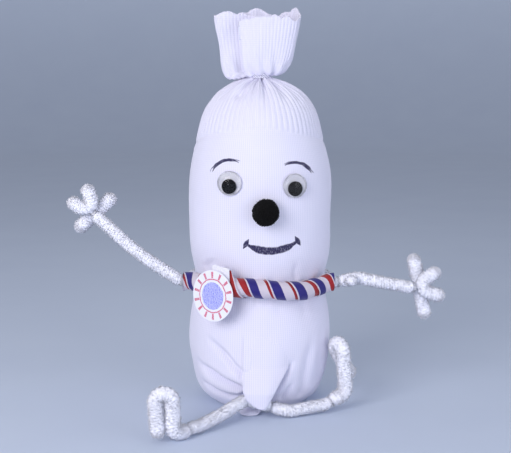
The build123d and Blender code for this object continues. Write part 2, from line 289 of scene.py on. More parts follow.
def ribbon_look():
    """Woven stripes with fine ribs across them and white selvedges."""
    look = Look("ribbon", srgb(235, 225, 240), 0.62, Sheen_Weight=0.15)
    across, along = look.flat_place()
    rib = (along * (math.tau / 0.62)).sine()
    weave = (across * (math.tau * 44)).sine()
    frayed = look.place().noise(0.6) * 0.016 + (across - 0.008)
    colour = srgb(238, 228, 242)
    for start, end, dye in ((0.045, 0.31, srgb(34, 22, 128)), (0.585, 0.955, srgb(176, 16, 26))):
        colour = look.mix(frayed.within(start - 0.006, end - 0.006, 0.012), colour, dye)
    # Painted shade: the colour is mixed a quarter of the way to black, least on the crests of the ribs, so
    # the troughs between ribs look shaded.
    look.colour(look.mix(rib.ramp(-1.0, 1.0, 0.0, 0.16), look.mix(0.25, colour, (0, 0, 0, 1)), colour))
    look.bump(rib * 0.35 + (weave * 0.1 + 0.5), 0.12, 0.7)
    return look.material


def card_look(width, height):
    """White card coloured by hand: a blue disc in a white ring, with red strokes round the edge."""
    look = Look("badge_card", srgb(238, 238, 248), 0.7)
    right, up = look.flat_place()
    place = look.place()
    across, above = right / (width / 2), up / (height / 2)
    rough = place.noise(1.6) * 0.06 + (across.away(above) - 0.03)
    wave = {"Vector": place, "Scale": 0.42, "Distortion": 9.0, "Detail": 2.5, "Detail Scale": 1.4}
    swirl = look.add("TexWave", wave, output="Fac")
    pencil = look.mix(swirl.ramp(0.25, 0.8), srgb(150, 158, 240), srgb(92, 100, 222))
    blue = rough.ramp(0.52, 0.55, 1.0, 0.0) * place.noise(0.28, 3.0).ramp(0.42, 0.62, 0.45, 1.0)
    turn = above.angle(across) / (math.tau / RED_STROKES)
    spoke = abs(turn.fraction() - 0.5).ramp(0.11, 0.16, 1.0, 0.0)
    ring = rough.ramp(0.68, 0.71) * rough.ramp(0.93, 0.95, 1.0, 0.0)
    rim = rough.within(0.62, 0.67, 0.015)
    wax = place.noise(0.22, 3.0).ramp(0.38, 0.6, 0.55, 1.0)
    red = (spoke * ring).greater(rim) * wax
    look.colour(look.mix(red, look.mix(blue, srgb(238, 238, 248), pencil), srgb(206, 66, 102)))
    look.bump(place.noise(0.4, 3.0), 0.05, 0.5)
    return look.material


def paper_look():
    look = Look("paper", srgb(240, 239, 248), 0.75)
    place = look.place()
    look.blotched(place.noise(0.5, 3.0), srgb(228, 228, 240), srgb(243, 242, 250))
    look.bump(place.noise(0.4, 3.0), 0.05, 0.5)
    return look.material


def pompom_look():
    look = Look("black_pompom", srgb(12, 11, 14), 0.95)
    look.blotched(look.place().noise(0.8), srgb(3, 3, 5), srgb(17, 16, 20), high=0.8)
    return look.material


def plastic_look(name, dark, light, roughness, **finish):
    """Smooth moulded plastic, very slightly uneven."""
    look = Look(name, light, roughness, **finish)
    place = look.place()
    look.blotched(place.noise(3.0), dark, light)
    look.bump(place.noise(2.0), 0.01, 0.3)
    return look.material


def clear_look():
    """A clear blister, as a gloss over what lies behind it."""
    look = Look("clear_blister", (0, 0, 0, 1), 0.05, IOR=1.5, Alpha=0.12, Specular_IOR_Level=1.0)
    look.bump(look.place().noise(6.0), 0.004, 0.1)
    return look.material


def wire_look():
    look = Look("stem_wire", srgb(165, 165, 170), 0.35, Metallic=1.0)
    x, y, z = look.split(look.place())
    twist = ((x + y + z) * 4.5).sine()
    # Painted shade and highlight: the metal's colour darkens in the grooves of the twist and lightens on its
    # ridges, as the bump does.
    look.blotched(twist, srgb(105, 105, 110), srgb(190, 190, 196), -0.2, 0.2)
    look.bump(twist.ramp(-1.0, 1.0), 0.1, 0.8)
    return look.material


def thread_look():
    look = Look("thread", srgb(226, 226, 240), 0.8, Sheen_Weight=0.2)
    x, y, z = look.split(look.place())
    ply = (y.angle(x) * 26.0 + z * 6.0).sine()
    # Painted shade: the colour darkens in the grooves between the plies and is lightest on their crests,
    # following the same twist as the bump.
    look.blotched(ply, srgb(190, 190, 212), srgb(236, 236, 248), -1.0, 1.0)
    look.bump(ply.ramp(-1.0, 1.0), 0.15, 0.9)
    return look.material


def glue_look():
    look = Look("dried_glue", srgb(225, 223, 214), 0.35, Transmission_Weight=0.3)
    look.bump(look.place().noise(1.4), 0.2, 0.6)
    return look.material


def fill_look():
    look = Look("fibre_fill", srgb(236, 236, 230), 0.95)
    look.colour(look.mix(look.place().noise(2.0, 4.0), srgb(214, 214, 208), srgb(244, 244, 238)))
    look.bump(look.place().noise(1.2, 4.0), 0.8, 0.8)
    return look.material


# ---------------------------------------------------------------- meshes


def make(name, points, faces, look, uv=None, normals=None):
    """A smooth mesh from points in millimetres and one or more arrays of faces."""
    mesh = bpy.data.meshes.new(name)
    corners = np.concatenate([block.ravel() for block in faces]).astype(np.int32)
    counts = np.concatenate([np.full(len(block), block.shape[1]) for block in faces])
    starts = np.concatenate([[0], np.cumsum(counts)[:-1]]).astype(np.int32)
    mesh.vertices.add(len(points))
    mesh.vertices.foreach_set("co", (np.asarray(points) * MM).astype(np.float32).ravel())
    mesh.loops.add(len(corners))
    mesh.loops.foreach_set("vertex_index", corners)
    mesh.polygons.add(len(counts))
    mesh.polygons.foreach_set("loop_start", starts)
    mesh.update(calc_edges=True)
    mesh.validate()
    mesh.shade_smooth()
    if uv is not None:
        layer = mesh.uv_layers.new(name="UVMap")
        layer.data.foreach_set("uv", np.asarray(uv)[corners].astype(np.float32).ravel())
    if normals is not None:
        mesh.normals_split_custom_set_from_vertices(np.asarray(normals).tolist())
    mesh.materials.append(look)
    made = bpy.data.objects.new(name, mesh)
    bpy.context.scene.collection.objects.link(made)
    return made


def grid_faces(rows, columns, closed=True):
    """Quads of a grid of points, row by row. A closed grid joins its last column to its first."""
    row = np.arange(rows - 1)[:, None] * columns
    column = np.arange(columns if closed else columns - 1)[None, :]
    after = (column + 1) % columns
    corners = (row + column, row + after, row + columns + after, row + columns + column)
    return np.stack([corner.ravel() for corner in corners], axis=1)


def cap_faces(ring, centre):
    """Triangles from a ring of points to a centre point."""
    return np.stack([ring, np.roll(ring, -1), np.full(len(ring), centre)], axis=1)


def capped(grid, uv=None):
    """(points, arrays of faces, UVs) of a closed tube of points, with a fan over each of its ends."""
    rows, columns = grid.shape[:2]
    last = rows * columns
    points = np.concatenate([grid.reshape(-1, 3), [grid[0].mean(axis=0)], [grid[-1].mean(axis=0)]])
    fans = [cap_faces(np.arange(columns)[::-1], last), cap_faces(np.arange(last - columns, last), last + 1)]
    if uv is not None:
        uv = np.concatenate([uv.reshape(-1, 2), uv[0, :1], uv[-1, :1]])
    return points, [grid_faces(rows, columns), *fans], uv


def strands(root, tip, lean, aside, width, turns, blunt, first):
    """(points, arrays of faces) of three-sided strands from roots to blunt tips, numbered on from first."""
    across = unit(np.cross(lean, aside))
    other = np.cross(lean, across)
    legs, ends = [], []
    for number in range(3):
        spin = turns + number * math.tau / 3
        out = (across * np.cos(spin) + other * np.sin(spin)) * width
        legs.append(root + out)
        ends.append(tip + out * blunt)
    base = first + 6 * np.arange(len(root))[:, None]
    walls = [base + np.array(corner) for corner in ((0, 1, 4, 3), (1, 2, 5, 4), (2, 0, 3, 5))]
    stubs = [base + np.array(corner) for corner in ((3, 4, 5), (2, 1, 0))]
    return np.stack([*legs, *ends], axis=1).reshape(-1, 3), [np.concatenate(walls), np.concatenate(stubs)]


def unit(vectors):
    vectors = np.asarray(vectors, float)
    return vectors / np.maximum(np.linalg.norm(vectors, axis=-1, keepdims=True), 1e-9)


def circle(count):
    """Angles at even steps round a circle."""
    return np.arange(count) / count * math.tau


def grid_of(*axes):
    """A grid of points from each axis's values, spread over the same rows and columns."""
    return np.stack(np.broadcast_arrays(*axes), axis=2)


def ease(value, low, high):
    """0 below low, 1 above high and smooth between them. High may be below low."""
    share = np.clip((np.asarray(value, float) - low) / (high - low), 0, 1)
    return share * share * (3 - 2 * share)


def lumps(points, scale, seed, waves=14):
    """Smooth noise, mostly from -1 to 1, whose lumps are about a scale across."""
    random = np.random.default_rng(seed)
    directions = unit(random.normal(size=(waves, 3))) * math.pi / scale
    phases = random.uniform(0, math.tau, waves)
    return np.sin(points @ directions.T + phases).sum(axis=-1) / math.sqrt(waves)


def grid_normals(grid):
    """Outward normals of a closed grid, rows going up and columns going anticlockwise from above."""
    along = np.roll(grid, -1, axis=1) - np.roll(grid, 1, axis=1)
    return unit(np.cross(along, np.gradient(grid, axis=0)))


def lengths_of(path):
    """How far along a path each of its points lies."""
    return np.concatenate([[0], np.cumsum(np.linalg.norm(np.diff(path, axis=0), axis=1))])


def at_lengths(at, lengths, values):
    """Points of a path, or vectors along it, at those lengths."""
    return np.stack([np.interp(at, lengths, values[:, axis]) for axis in range(3)], axis=-1)


def place_on(piece, body, node):
    """Makes a piece ride a body and stand for a CAD node."""
    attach(piece, body)
    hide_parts(node)


# ---------------------------------------------------------------- reading the frame


def box_of(node):
    low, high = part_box(node)
    return np.array(low) / MM, np.array(high) / MM


def middle_of(node):
    low, high = box_of(node)
    return (low + high) / 2


def joint_named(name):
    """A joint's place and axis."""
    joint = next(joint for joint in frame["joints"] if joint["name"] == name)
    return np.array(joint["pos_m"]) / MM, unit(joint["axis"])


def centreline(name, start):
    """The middle of a CAD wire, in order from the end nearer to start."""
    mesh = frame["nodes"][name].data
    points = np.array([vertex.co for vertex in mesh.vertices]) / MM
    points, index = np.unique(np.round(points, 4), axis=0, return_inverse=True)
    index = index.ravel()
    pairs = np.array([edge.vertices for edge in mesh.edges])
    neighbours = [[] for _ in points]
    for a, b in index[pairs]:
        if a != b:
            length = float(np.linalg.norm(points[a] - points[b]))
            neighbours[a].append((b, length))
            neighbours[b].append((a, length))
    first = walk(neighbours, int(np.argmax(np.linalg.norm(points - points.mean(axis=0), axis=1))))
    along = walk(neighbours, int(np.argmax(first)))
    bins = np.floor((along - along.min()) / WIRE_STEP).astype(int)
    line = np.array([points[bins == number].mean(axis=0) for number in np.unique(bins)])
    if np.linalg.norm(line[0] - start) > np.linalg.norm(line[-1] - start):
        line = line[::-1]
    return line


def walk(neighbours, start):
    """The length of the shortest way along the edges from one point to each other one."""
    far = np.full(len(neighbours), np.inf)
    far[start] = 0.0
    waiting = [(0.0, start)]
    while waiting:
        so_far, at = heapq.heappop(waiting)
        if so_far > far[at]:
            continue
        for other, length in neighbours[at]:
            if so_far + length < far[other]:
                far[other] = so_far + length
                heapq.heappush(waiting, (far[other], other))
    far[~np.isfinite(far)] = 0.0
    return far


def even(path, step=0.35, smooth=1.1):
    """The path with evenly spaced points, a little rounded, its ends where they were."""
    path = np.asarray(path, float)
    lengths = lengths_of(path)
    count = max(8, int(lengths[-1] / step))
    line = at_lengths(np.linspace(0, lengths[-1], count), lengths, path)
    reach = max(1, int(3 * smooth / step))
    weights = np.exp(-0.5 * (np.arange(-reach, reach + 1) * step / smooth) ** 2)
    weights /= weights.sum()
    before, after = np.repeat(line[:1], reach, axis=0), np.repeat(line[-1:], reach, axis=0)
    if count > reach + 1:
        before, after = 2 * line[0] - line[reach:0:-1], 2 * line[-1] - line[-2 : -reach - 2 : -1]
    padded = np.concatenate([before, line, after])
    return np.stack([np.convolve(padded[:, axis], weights, mode="valid") for axis in range(3)], axis=1)


def carried(path):
    """Tangents along a path, and two vectors square to it that don't twist."""
    tangents = unit(np.gradient(path, axis=0))
    side = unit(np.cross(tangents[0], (0.3, 0.2, 1.0)))
    sides = []
    for tangent in tangents:
        side = unit(side - tangent * side.dot(tangent))
        sides.append(side)
    sides = np.array(sides)
    return tangents, sides, np.cross(tangents, sides)


# ---------------------------------------------------------------- chenille stems


def chenille(name, path, look, seed, open_start=False, open_end=False, reach=PILE):
    """A fuzzy stem: a ridged core and many short tufts. An open end is a cut one, where the pile splays."""
    random = np.random.default_rng(seed)
    path = even(path, 0.25)
    path = path + np.stack([lumps(path, 9.0, seed + axis) * 0.12 for axis in range(3)], axis=1)
    tangents, sides, ups = carried(path)
    lengths = lengths_of(path)
    total = lengths[-1]
    scale = reach / PILE
    columns = 20
    angles = circle(columns)
    from_end = np.minimum(lengths, total - lengths) / 2.4
    taper = np.sqrt(np.clip(1 - (1 - np.clip(from_end, 0, 1)) ** 2, 0.02, 1))
    twist = 2 * angles[None, :] - math.tau * lengths[:, None] / RIDGE_PITCH
    radius = (CORE + RIDGE * np.cos(twist)) * taper[:, None] * scale
    turned = np.cos(angles)[None, :, None], np.sin(angles)[None, :, None]
    spokes = sides[:, None, :] * turned[0] + ups[:, None, :] * turned[1]
    core = path[:, None, :] + spokes * radius[:, :, None]
    core += spokes * (lumps(core, 1.3, seed + 5) * 0.13 * taper[:, None])[:, :, None]
    points, faces, _ = capped(core)
    points[-2:] = path[0], path[-1]
    core_normals = unit(spokes + grid_normals(core)).reshape(-1, 3)

    at = random.uniform(0, total, int(total * TUFTS_PER_MM))
    dome_start = END_DOME if open_start else -1.0
    dome_end = total - END_DOME if open_end else total + 1.0
    extra = [random.uniform(0, END_DOME, END_TUFTS)] if open_start else []
    extra += [total - random.uniform(0, END_DOME, END_TUFTS)] if open_end else []
    at = np.concatenate([at, *extra])
    count = len(at)
    blade = random.integers(0, 2, count) * math.pi
    angle = math.pi * at / RIDGE_PITCH + blade + random.normal(0, 0.5, count)
    at = np.clip(at + random.normal(0, 0.15, count), 0, total)
    tilt = random.uniform(0, 1.4, count) * (1.0 * (at > dome_end) - (at < dome_start))
    near_end = ease(at, dome_end - 2.5, dome_end) if open_end else 1.1 * ease(at, total - 2.6, total)
    near_start = ease(at, dome_start + 2.5, dome_start) if open_start else 1.1 * ease(at, 2.6, 0.0)
    tilt += 0.9 * (near_end * (at <= dome_end) - near_start * (at >= dome_start))
    at = np.clip(at, max(dome_start, 0.0), min(dome_end, total))
    middle, forward, side, up = (at_lengths(at, lengths, values) for values in (path, tangents, sides, ups))
    out = unit(side * np.cos(angle)[:, None] + up * np.sin(angle)[:, None])
    ends = np.ones(count)
    if not open_start:
        ends = ends * (0.75 + 0.25 * ease(at, 0.0, 2.4))
    if not open_end:
        ends = ends * (0.75 + 0.25 * ease(at, total, total - 2.4))
    lean = out * np.cos(tilt)[:, None] + forward * np.sin(tilt)[:, None]
    lean = unit(lean + forward * random.normal(0, 0.15, count)[:, None] + random.normal(0, 0.1, (count, 3)))
    length = (TUFT_REACH + random.normal(0, 0.2, count)) * scale * ends
    root, tip = middle + lean * (length * 0.6)[:, None], middle + lean * length[:, None]
    width = TUFT_HALF_WIDTH * random.uniform(0.7, 1.3, count)[:, None]
    turns = random.uniform(0, math.tau, count)[:, None]
    tufts, tuft_faces = strands(root, tip, lean, forward + 1e-3, width, turns, 0.6, len(points))
    tuft_normals = np.repeat(unit(lean + 0.5 * out + random.normal(0, 0.12, (count, 3))), 6, axis=0)
    normals = np.concatenate([core_normals, -tangents[:1], tangents[-1:], tuft_normals])
    return make(name, np.concatenate([points, tufts]), [*faces, *tuft_faces], look, normals=normals)


def stems(look):
    """Every chenille stem: some ride a body as their wire does, the others are baked where they stand."""

    def ridden(name, line, body, *how):
        place_on(chenille(name, line, look, *how), body, name)

    def bent(name, line, inner, outer, joint, *how, onward=0.0):
        """A stem from a joint, baked where it stands. It can run on past its wire's end."""
        line = np.concatenate([[joint], line])
        longer = [line, [line[-1] + onward * unit(line[-1] - line[-3])]] if onward else [line]
        piece = chenille(name, np.concatenate(longer), look, *how)
        across_joint(piece, joint, line)
        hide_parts(name)

    shoulder, wrist, hip, ankle = (
        {side: joint_named(f"{side}_{kind}")[0] for side in ("left", "right")}
        for kind in ("shoulder", "wrist", "hip", "ankle")
    )
    ridden("collar_stem", sagged(centreline("collar_wire", shoulder["left"])), "torso", 1)
    ridden("collar_back", back_path(), "torso", 2)
    ridden("hip_stem", centreline("hip_wire", hip["left"]), "torso", 3)
    for side, seed in (("left", 10), ("right", 30)):
        arm, hand, leg, foot = (f"{side}_{limb}" for limb in ("arm", "hand", "leg", "foot"))
        arm_line = centreline(f"{arm}_wire", shoulder[side])
        bent(f"{arm}_pile", arm_line, "torso", arm, shoulder[side], seed, onward=ARM_OVERLAP)
        for number, kind in enumerate(("fork", "cross")):
            line = centreline(f"{hand}_{kind}_wire", wrist[side])
            ridden(f"{hand}_{kind}", line, hand, seed + 5 + number, True, True, HAND_PILE)
        bent(f"{leg}_pile", centreline(f"{leg}_wire", hip[side]), "torso", leg, hip[side], seed + 8)
        foot_line = centreline(f"{foot}_wire", ankle[side])
        bent(f"{foot}_loop", foot_line, leg, foot, ankle[side], seed + 9, False, True, FOOT_PILE)
    splice = centreline("right_splice_wire", shoulder["right"])
    ridden("right_arm_splice", splice, "right_arm", 60, False, True, SPLICE_PILE)


def across_joint(piece, joint, line):
    """Bakes a stem's place into its mesh; the stem is not bent at the joint."""
    way = unit(even(line)[9] - joint)
    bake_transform(piece)


def sagged(path):
    """The collar as the weight of the ribbon draws it down, most between its middle and the right arm."""
    path = np.array(path, float)
    path[:, 2] += np.interp(path[:, 0], (-36, -18, -6, 8, 19, 27, 36), (0, 0.9, 0.3, -1.0, -2.2, -1.9, 0))
    return path


def back_path():
    """The half turn of the collar stem behind the neck, from its CAD solid's box."""
    low, high = box_of("collar_back")
    half_width, half_depth = (high[0] - low[0]) / 2 - PILE, high[1] - PILE
    turns = np.radians(np.linspace(4, 176, 60))
    level = (low[2] + high[2]) / 2
    return np.stack([half_width * np.cos(turns), half_depth * np.sin(turns), np.full(60, level)], axis=1)


# ---------------------------------------------------------------- sock


def surface_of(node):
    """A CAD node's surface, for rays."""
    mesh = frame["nodes"][node].data
    return BVHTree.FromPolygons([v.co for v in mesh.vertices], [face.vertices for face in mesh.polygons])


sock_surface = surface_of("sock_body")


def outline(levels):
    """Half widths and half depths of the CAD sock at those levels."""
    widths, depths = [], []
    for level in levels:
        side = sock_surface.ray_cast(Vector((0.2, 0, level * MM)), Vector((-1, 0, 0)))[0]
        back = sock_surface.ray_cast(Vector((0, 0.2, level * MM)), Vector((0, -1, 0)))[0]
        widths.append(side.x / MM)
        depths.append(back.y / MM)
    return np.array(widths), np.array(depths)


def smooth_list(values, reach):
    """Values with their small steps evened out."""
    weights = np.hanning(2 * reach + 3)[1:-1]
    weights /= weights.sum()
    ends = np.concatenate([np.full(reach, values[0]), values, np.full(reach, values[-1])])
    return np.convolve(ends, weights, mode="valid")


TOP_LEVEL, FILL_TOP = 166.5, 158


def sock_levels(fine):
    """Heights of the sock's rows, close together where it is creased and where it gathers."""
    rows = int(62 * fine)
    spans = ((0.05, 46), (46, 128), (128, TOP_LEVEL))
    return np.concatenate([np.linspace(low, high, rows, endpoint=False) for low, high in spans])


def sock_grid(columns, fine=1.0, inset=0.0):
    """(angles, grid) of the stuffed sock before it is creased. Angle 0 is the front, and rows go up."""
    levels = sock_levels(fine)
    widths, depths = outline(levels)
    widths, depths = smooth_list(widths, 2), smooth_list(depths, 2)
    rim = np.clip(1 - levels / SEAT_ROUND, 0, 1)
    rounding = SEAT_ROUND * (1 - np.sqrt(1 - rim**2)) * 0.6 + inset
    widths, depths = np.maximum(widths - rounding, 0.5), np.maximum(depths - rounding, 0.5)
    angles = circle(columns)
    x = widths[:, None] * np.sin(angles)
    y = -depths[:, None] * np.cos(angles)
    return angles, grid_of(x, y, np.clip(levels, inset, TOP_LEVEL - inset)[:, None])


def to_line(x, z, line):
    """Distance from each point to a line, share of the way along it, and side: 1 above it, -1 below."""
    best = np.full(x.shape, 1e9)
    along, side = np.zeros(x.shape), np.ones(x.shape)
    line = np.asarray(line, float)
    runs = np.linalg.norm(np.diff(line, axis=0), axis=1)
    done = np.concatenate([[0], np.cumsum(runs)]) / runs.sum()
    for number in range(len(line) - 1):
        (x0, z0), (x1, z1) = line[number], line[number + 1]
        run = np.array([x1 - x0, z1 - z0])
        share = np.clip(((x - x0) * run[0] + (z - z0) * run[1]) / run.dot(run), 0, 1)
        distance = np.hypot(x - x0 - share * run[0], z - z0 - share * run[1])
        nearer = distance < best
        best = np.where(nearer, distance, best)
        along = np.where(nearer, done[number] + share * (done[number + 1] - done[number]), along)
        cross = run[0] * (z - z0) - run[1] * (x - x0)
        side = np.where(nearer, np.where(cross > 0, 1.0, -1.0), side)
    return best, along, side


def crease(x, z, line, width, depth, lip=0.0, fade=(0.25, 0.25)):
    """A crease along a line: pressed in along it and, where it has a lip, standing proud above it."""
    distance, along, side = to_line(x, z, line)
    strength = ease(along, 0, fade[0]) if fade[0] else np.ones_like(along)
    strength = strength * (ease(along, 1, 1 - fade[1]) if fade[1] else 1)
    groove = -depth * np.exp(-((distance / width) ** 2))
    clear_of_groove = 1 - np.exp(-((distance / (0.6 * width)) ** 2))
    return strength * (groove + lip * (side > 0) * np.exp(-distance / (2.6 * width)) * clear_of_groove)


# Lines drawn on the front as (x, z), each with its width, depth, lip and how far each end fades.
FRONT_CREASES = (
    (((-27, 40), (-23.6, 36.4), (-18.0, 31.0), (-12.1, 24.8), (-8.0, 21.8)), 1.7, 2.8, 1.1, (0.6, 0)),
    (((-33, 26.6), (-29.0, 22.8), (-19.5, 17.4), (-8.0, 13.8)), 2.2, 4.2, 2.8, (0.5, 0)),
    (((-30, 15.4), (-27.3, 12.6), (-22, 9.4), (-16, 8), (-9.8, 8.6), (-6, 11)), 1.6, 2.8, 1.2, (0.3, 0)),
    (((18, 30), (13.4, 24.4), (8.6, 16.8), (3.4, 8.0)), 1.7, 2.4, 0.6, (0.5, 0)),
    (((16, 17), (12.8, 11.6), (9.8, 6.4)), 1.3, 1.3, 0.4, (0.4, 0.2)),
    (((25.6, 40), (24.3, 31.4), (21.9, 18.8), (19.8, 5.0)), 2.2, 1.3, 0.3, (0.4, 0.1)),
    (((31.4, 42), (30.6, 31.9), (27.5, 10.4)), 2.4, 1.1, 0.2, (0.4, 0.2)),
    (((-28, 70.5), (-24.6, 73.6), (-20.6, 76.6)), 1.3, 1.0, 0.3, (0.2, 0.5)),
    (((5.4, 58.0), (2.0, 56.6), (-1.4, 56.6)), 1.0, 0.6, 0.2, (0.3, 0.4)),
    (((-2.0, 62), (-2.4, 56), (-2.0, 50)), 1.6, 0.6, 0.0, (0.1, 0.6)),
    (((17.6, 77), (17.0, 70), (17.4, 64)), 1.6, 0.7, 0.0, (0.5, 0.1)),
    (((-17.4, 55), (-16.9, 50), (-17.6, 45)), 1.9, 0.5, 0.0, (0.1, 0.6)),
    (((8.0, 60), (9.2, 54), (9.0, 47)), 1.9, 0.45, 0.0, (0.1, 0.6)),
    (((20.0, 59), (21.6, 53), (22.4, 45)), 2.0, 0.5, 0.0, (0.1, 0.6)),
    (((-13.0, 153.2), (-8.4, 155.6), (-5.0, 157.4)), 1.0, 1.1, 0.4, (0.3, 0.3)),
    (((-4.6, 160.0), (-6.6, 161.6), (-8.0, 161.0)), 0.6, 0.7, 0.2, (0.3, 0.3)),
    (((1.4, 158.8), (2.2, 156.6), (3.2, 153.0)), 0.6, 0.7, 0.2, (0.2, 0.5)),
    (((0.2, 158.6), (1.6, 160.0), (3.6, 158.6)), 0.5, 0.6, 0.2, (0.2, 0.4)),
)

# The same at the back, where the tube folds under at the seat and draws in at the neck and the tie.
BACK_CREASES = (
    (((-24, 22), (-17, 15), (-12, 6)), 1.5, 1.0, 0.3, (0.4, 0.1)),
    (((20, 30), (16, 20), (14, 7)), 1.8, 1.0, 0.2, (0.4, 0.1)),
    (((2, 26), (0, 15), (1, 5)), 1.8, 0.8, 0.0, (0.5, 0.1)),
    (((-14, 54), (-12.6, 49), (-13, 42)), 1.6, 0.5, 0.0, (0.1, 0.6)),
    (((9, 71), (9.8, 77), (9.2, 83)), 1.5, 0.5, 0.0, (0.1, 0.6)),
)
TONGUE_LEFT, TONGUE_TOP = -8.2, 44.0


def wrinkles(angles, grid):
    """How far each point of the sock stands out from or sinks under its smooth form."""
    x, y, z = (grid[:, :, axis] for axis in range(3))
    turn = np.broadcast_to(angles, z.shape)
    front = ease(-y, 4.0, 9.0)
    back = ease(y, 4.0, 9.0)
    rise = np.zeros(z.shape)
    for shown, creases in ((front, FRONT_CREASES), (back, BACK_CREASES)):
        for each in creases:
            rise += shown * crease(x, z, *each)
    rise += front * tongue_root(x, z)

    edge = RIB_EDGE_Z + RIB_EDGE_DROP * np.cos(turn) + 0.5 * lumps(grid, 12.0, 3)
    ribbed = ease(z, edge - 0.8, edge + 2.2)
    rib = np.abs(np.sin(turn * RIBS / 2)) ** 0.7 - 0.6
    tight = ease(z, 150.0, 161.0)
    rise += ribbed * RIB_DEPTH * rib * (1 + 0.5 * tight)
    rise -= 0.35 * np.exp(-(((z - edge) / 1.3) ** 2))
    pleat = np.cos(turn * 17 + 1.1 * lumps(grid, 8.0, 4)) + 0.6 * np.cos(turn * 11 + 2.0)
    rise += 0.75 * ease(z, 147.0, 160.5) * pleat * ease(z, 168.0, 163.0)

    face = front * ease(z, 70.0, 80.0) * ease(z, 140.0, 128.0)
    rise += (0.42 - 0.3 * face) * lumps(grid, 17.0, 5)
    rise += 0.55 * ease(z, 46.0, 20.0) * (lumps(grid * (1, 1, 0.55), 9.0, 6) - 0.2)
    return rise * ease(z, 0.0, 3.0)


def tongue_root(x, z):
    """The low swelling where the hanging toe end leaves the belly, sharp at its left edge."""
    left = ease(x, TONGUE_LEFT - 0.35, TONGUE_LEFT + 0.25)
    right = ease(x, 22.0, 6.0)
    return 1.15 * left * right * ease(z, TONGUE_TOP, 33.0) * ease(z, 8.0, 15.0)


def sock(look):
    """The sock's body: one knitted surface from the middle of its seat to the neck of the gather."""
    columns = RIBS * COLUMNS_PER_RIB
    angles, grid = sock_grid(columns)
    smooth = grid_normals(grid)
    grid = grid + smooth * wrinkles(angles, grid)[:, :, None]
    grid[:, :, 2] = np.maximum(grid[:, :, 2], 0.02)
    shares = np.array([0.12, 0.3, 0.5, 0.7, 0.86, 0.95])[:, None, None]
    seat = grid[0][None] * np.concatenate([shares, shares, np.zeros_like(shares)], axis=2)
    rows = np.concatenate([seat, grid])
    steps = np.linalg.norm(np.diff(rows, axis=0), axis=2).mean(axis=1)
    heights = np.concatenate([[0], np.cumsum(steps)])
    wales = RIBS * WALES_PER_RIB
    wale = np.arange(columns + 1)[None, :] / columns * wales
    uv = grid_of(wale, heights[:, None])
    rows = np.concatenate([rows, rows[:, :1]], axis=1)
    points = np.concatenate([rows.reshape(-1, 3), [[0, 0, 0]], rows[-1, :-1].mean(axis=0)[None]])
    flat_uv = np.concatenate([uv.reshape(-1, 2), [[0, 0]], [[0, heights[-1]]]])
    ring, seat_middle = np.arange(columns), rows[:, :, 0].size
    first_row = np.stack([ring + 1, ring, np.full(columns, seat_middle)], axis=1)
    offset = ring + (len(rows) - 1) * (columns + 1)
    last_row = np.stack([offset, offset + 1, np.full(columns, seat_middle + 1)], axis=1)
    faces = [grid_faces(len(rows), columns + 1, False), first_row, last_row]
    body = make("sock_body", points, faces, look, uv=flat_uv)
    weld(body)
    return body


def weld(piece):
    """Joins the seam where a grid's last column lies on its first, keeping the UVs on each side."""
    mesh = bmesh.new()
    mesh.from_mesh(piece.data)
    bmesh.ops.remove_doubles(mesh, verts=mesh.verts, dist=0.00001)
    mesh.to_mesh(piece.data)
    mesh.free()


def fill(look):
    """The fibre inside, a little smaller than the sock."""
    _, grid = sock_grid(64, fine=0.3, inset=FILL_INSET)
    grid = grid[grid[:, 0, 2] < FILL_TOP]
    grid = grid + grid_normals(grid) * (lumps(grid, 9.0, 8) * 0.8)[:, :, None]
    grid[:, :, 2] = np.maximum(grid[:, :, 2], 1.5)
    points, faces, _ = capped(grid)
    return make("stuffing", points, faces, look)


def knit_tube(name, grid, up, look):
    """A closed tube of knit, whose wales run up."""
    wales = grid[:, :, 0] / WALE_WIDTH + FIRST_WALE
    points, faces, uv = capped(grid, grid_of(wales, up[:, None]))
    return make(name, points, faces, look, uv=uv)


def tongue(look):
    """The toe end of the sock, a thick fold that leaves the belly and hangs over the gather."""
    front = box_of("sock_body")[0][1]
    tip_z, root_z = 6.2, TONGUE_TOP - 4
    level = np.linspace(root_z, tip_z, 64)
    left = np.interp(level, (6.2, 7.6, 10.5, 14.4, 41), (-0.6, -3.6, -6.6, TONGUE_LEFT, TONGUE_LEFT))
    right = np.interp(level, (6.2, 7.6, 16.6, 24.1, 31, 41), (2.4, 3.6, 8.6, 13.2, 16.0, 17.0))
    middle, half = (left + right) / 2, (right - left) / 2
    widths, depths = outline(level)
    columns = 56
    turns = circle(columns)
    x = middle[:, None] + half[:, None] * np.sign(np.cos(turns)) * np.abs(np.cos(turns)) ** 0.55
    reach = (front + 0.5, front + 0.4, -35.6, -33.6, -32.6, -31.2)
    ride_out = np.interp(level, (6.2, 13.7, 20, 25.2, 33, 41), reach)
    curve = depths[:, None] * (1 - np.sqrt(np.clip(1 - (x / widths[:, None]) ** 2, 0, 1)))
    curve = curve * np.interp(level, (6, 25), (0.7, 1))[:, None]
    sink = 1.5 * ease(x, 9.0, 17.0) * ease(level, 18.0, 27.0)[:, None]
    thick = np.interp(level, (6.2, 9, 20, 41), (1.2, 2.2, 2.6, 1.6))[:, None]
    y = ride_out[:, None] + curve + sink + thick / 2 * (1 - np.sin(turns))
    grid = grid_of(x, y, level[:, None])
    grid[:, :, 1] += 0.3 * lumps(grid * (1, 0.3, 0.5), 6.0, 21) * ease(level, 36, 24)[:, None]
    return knit_tube("sock_toe_fold", grid, level, look)


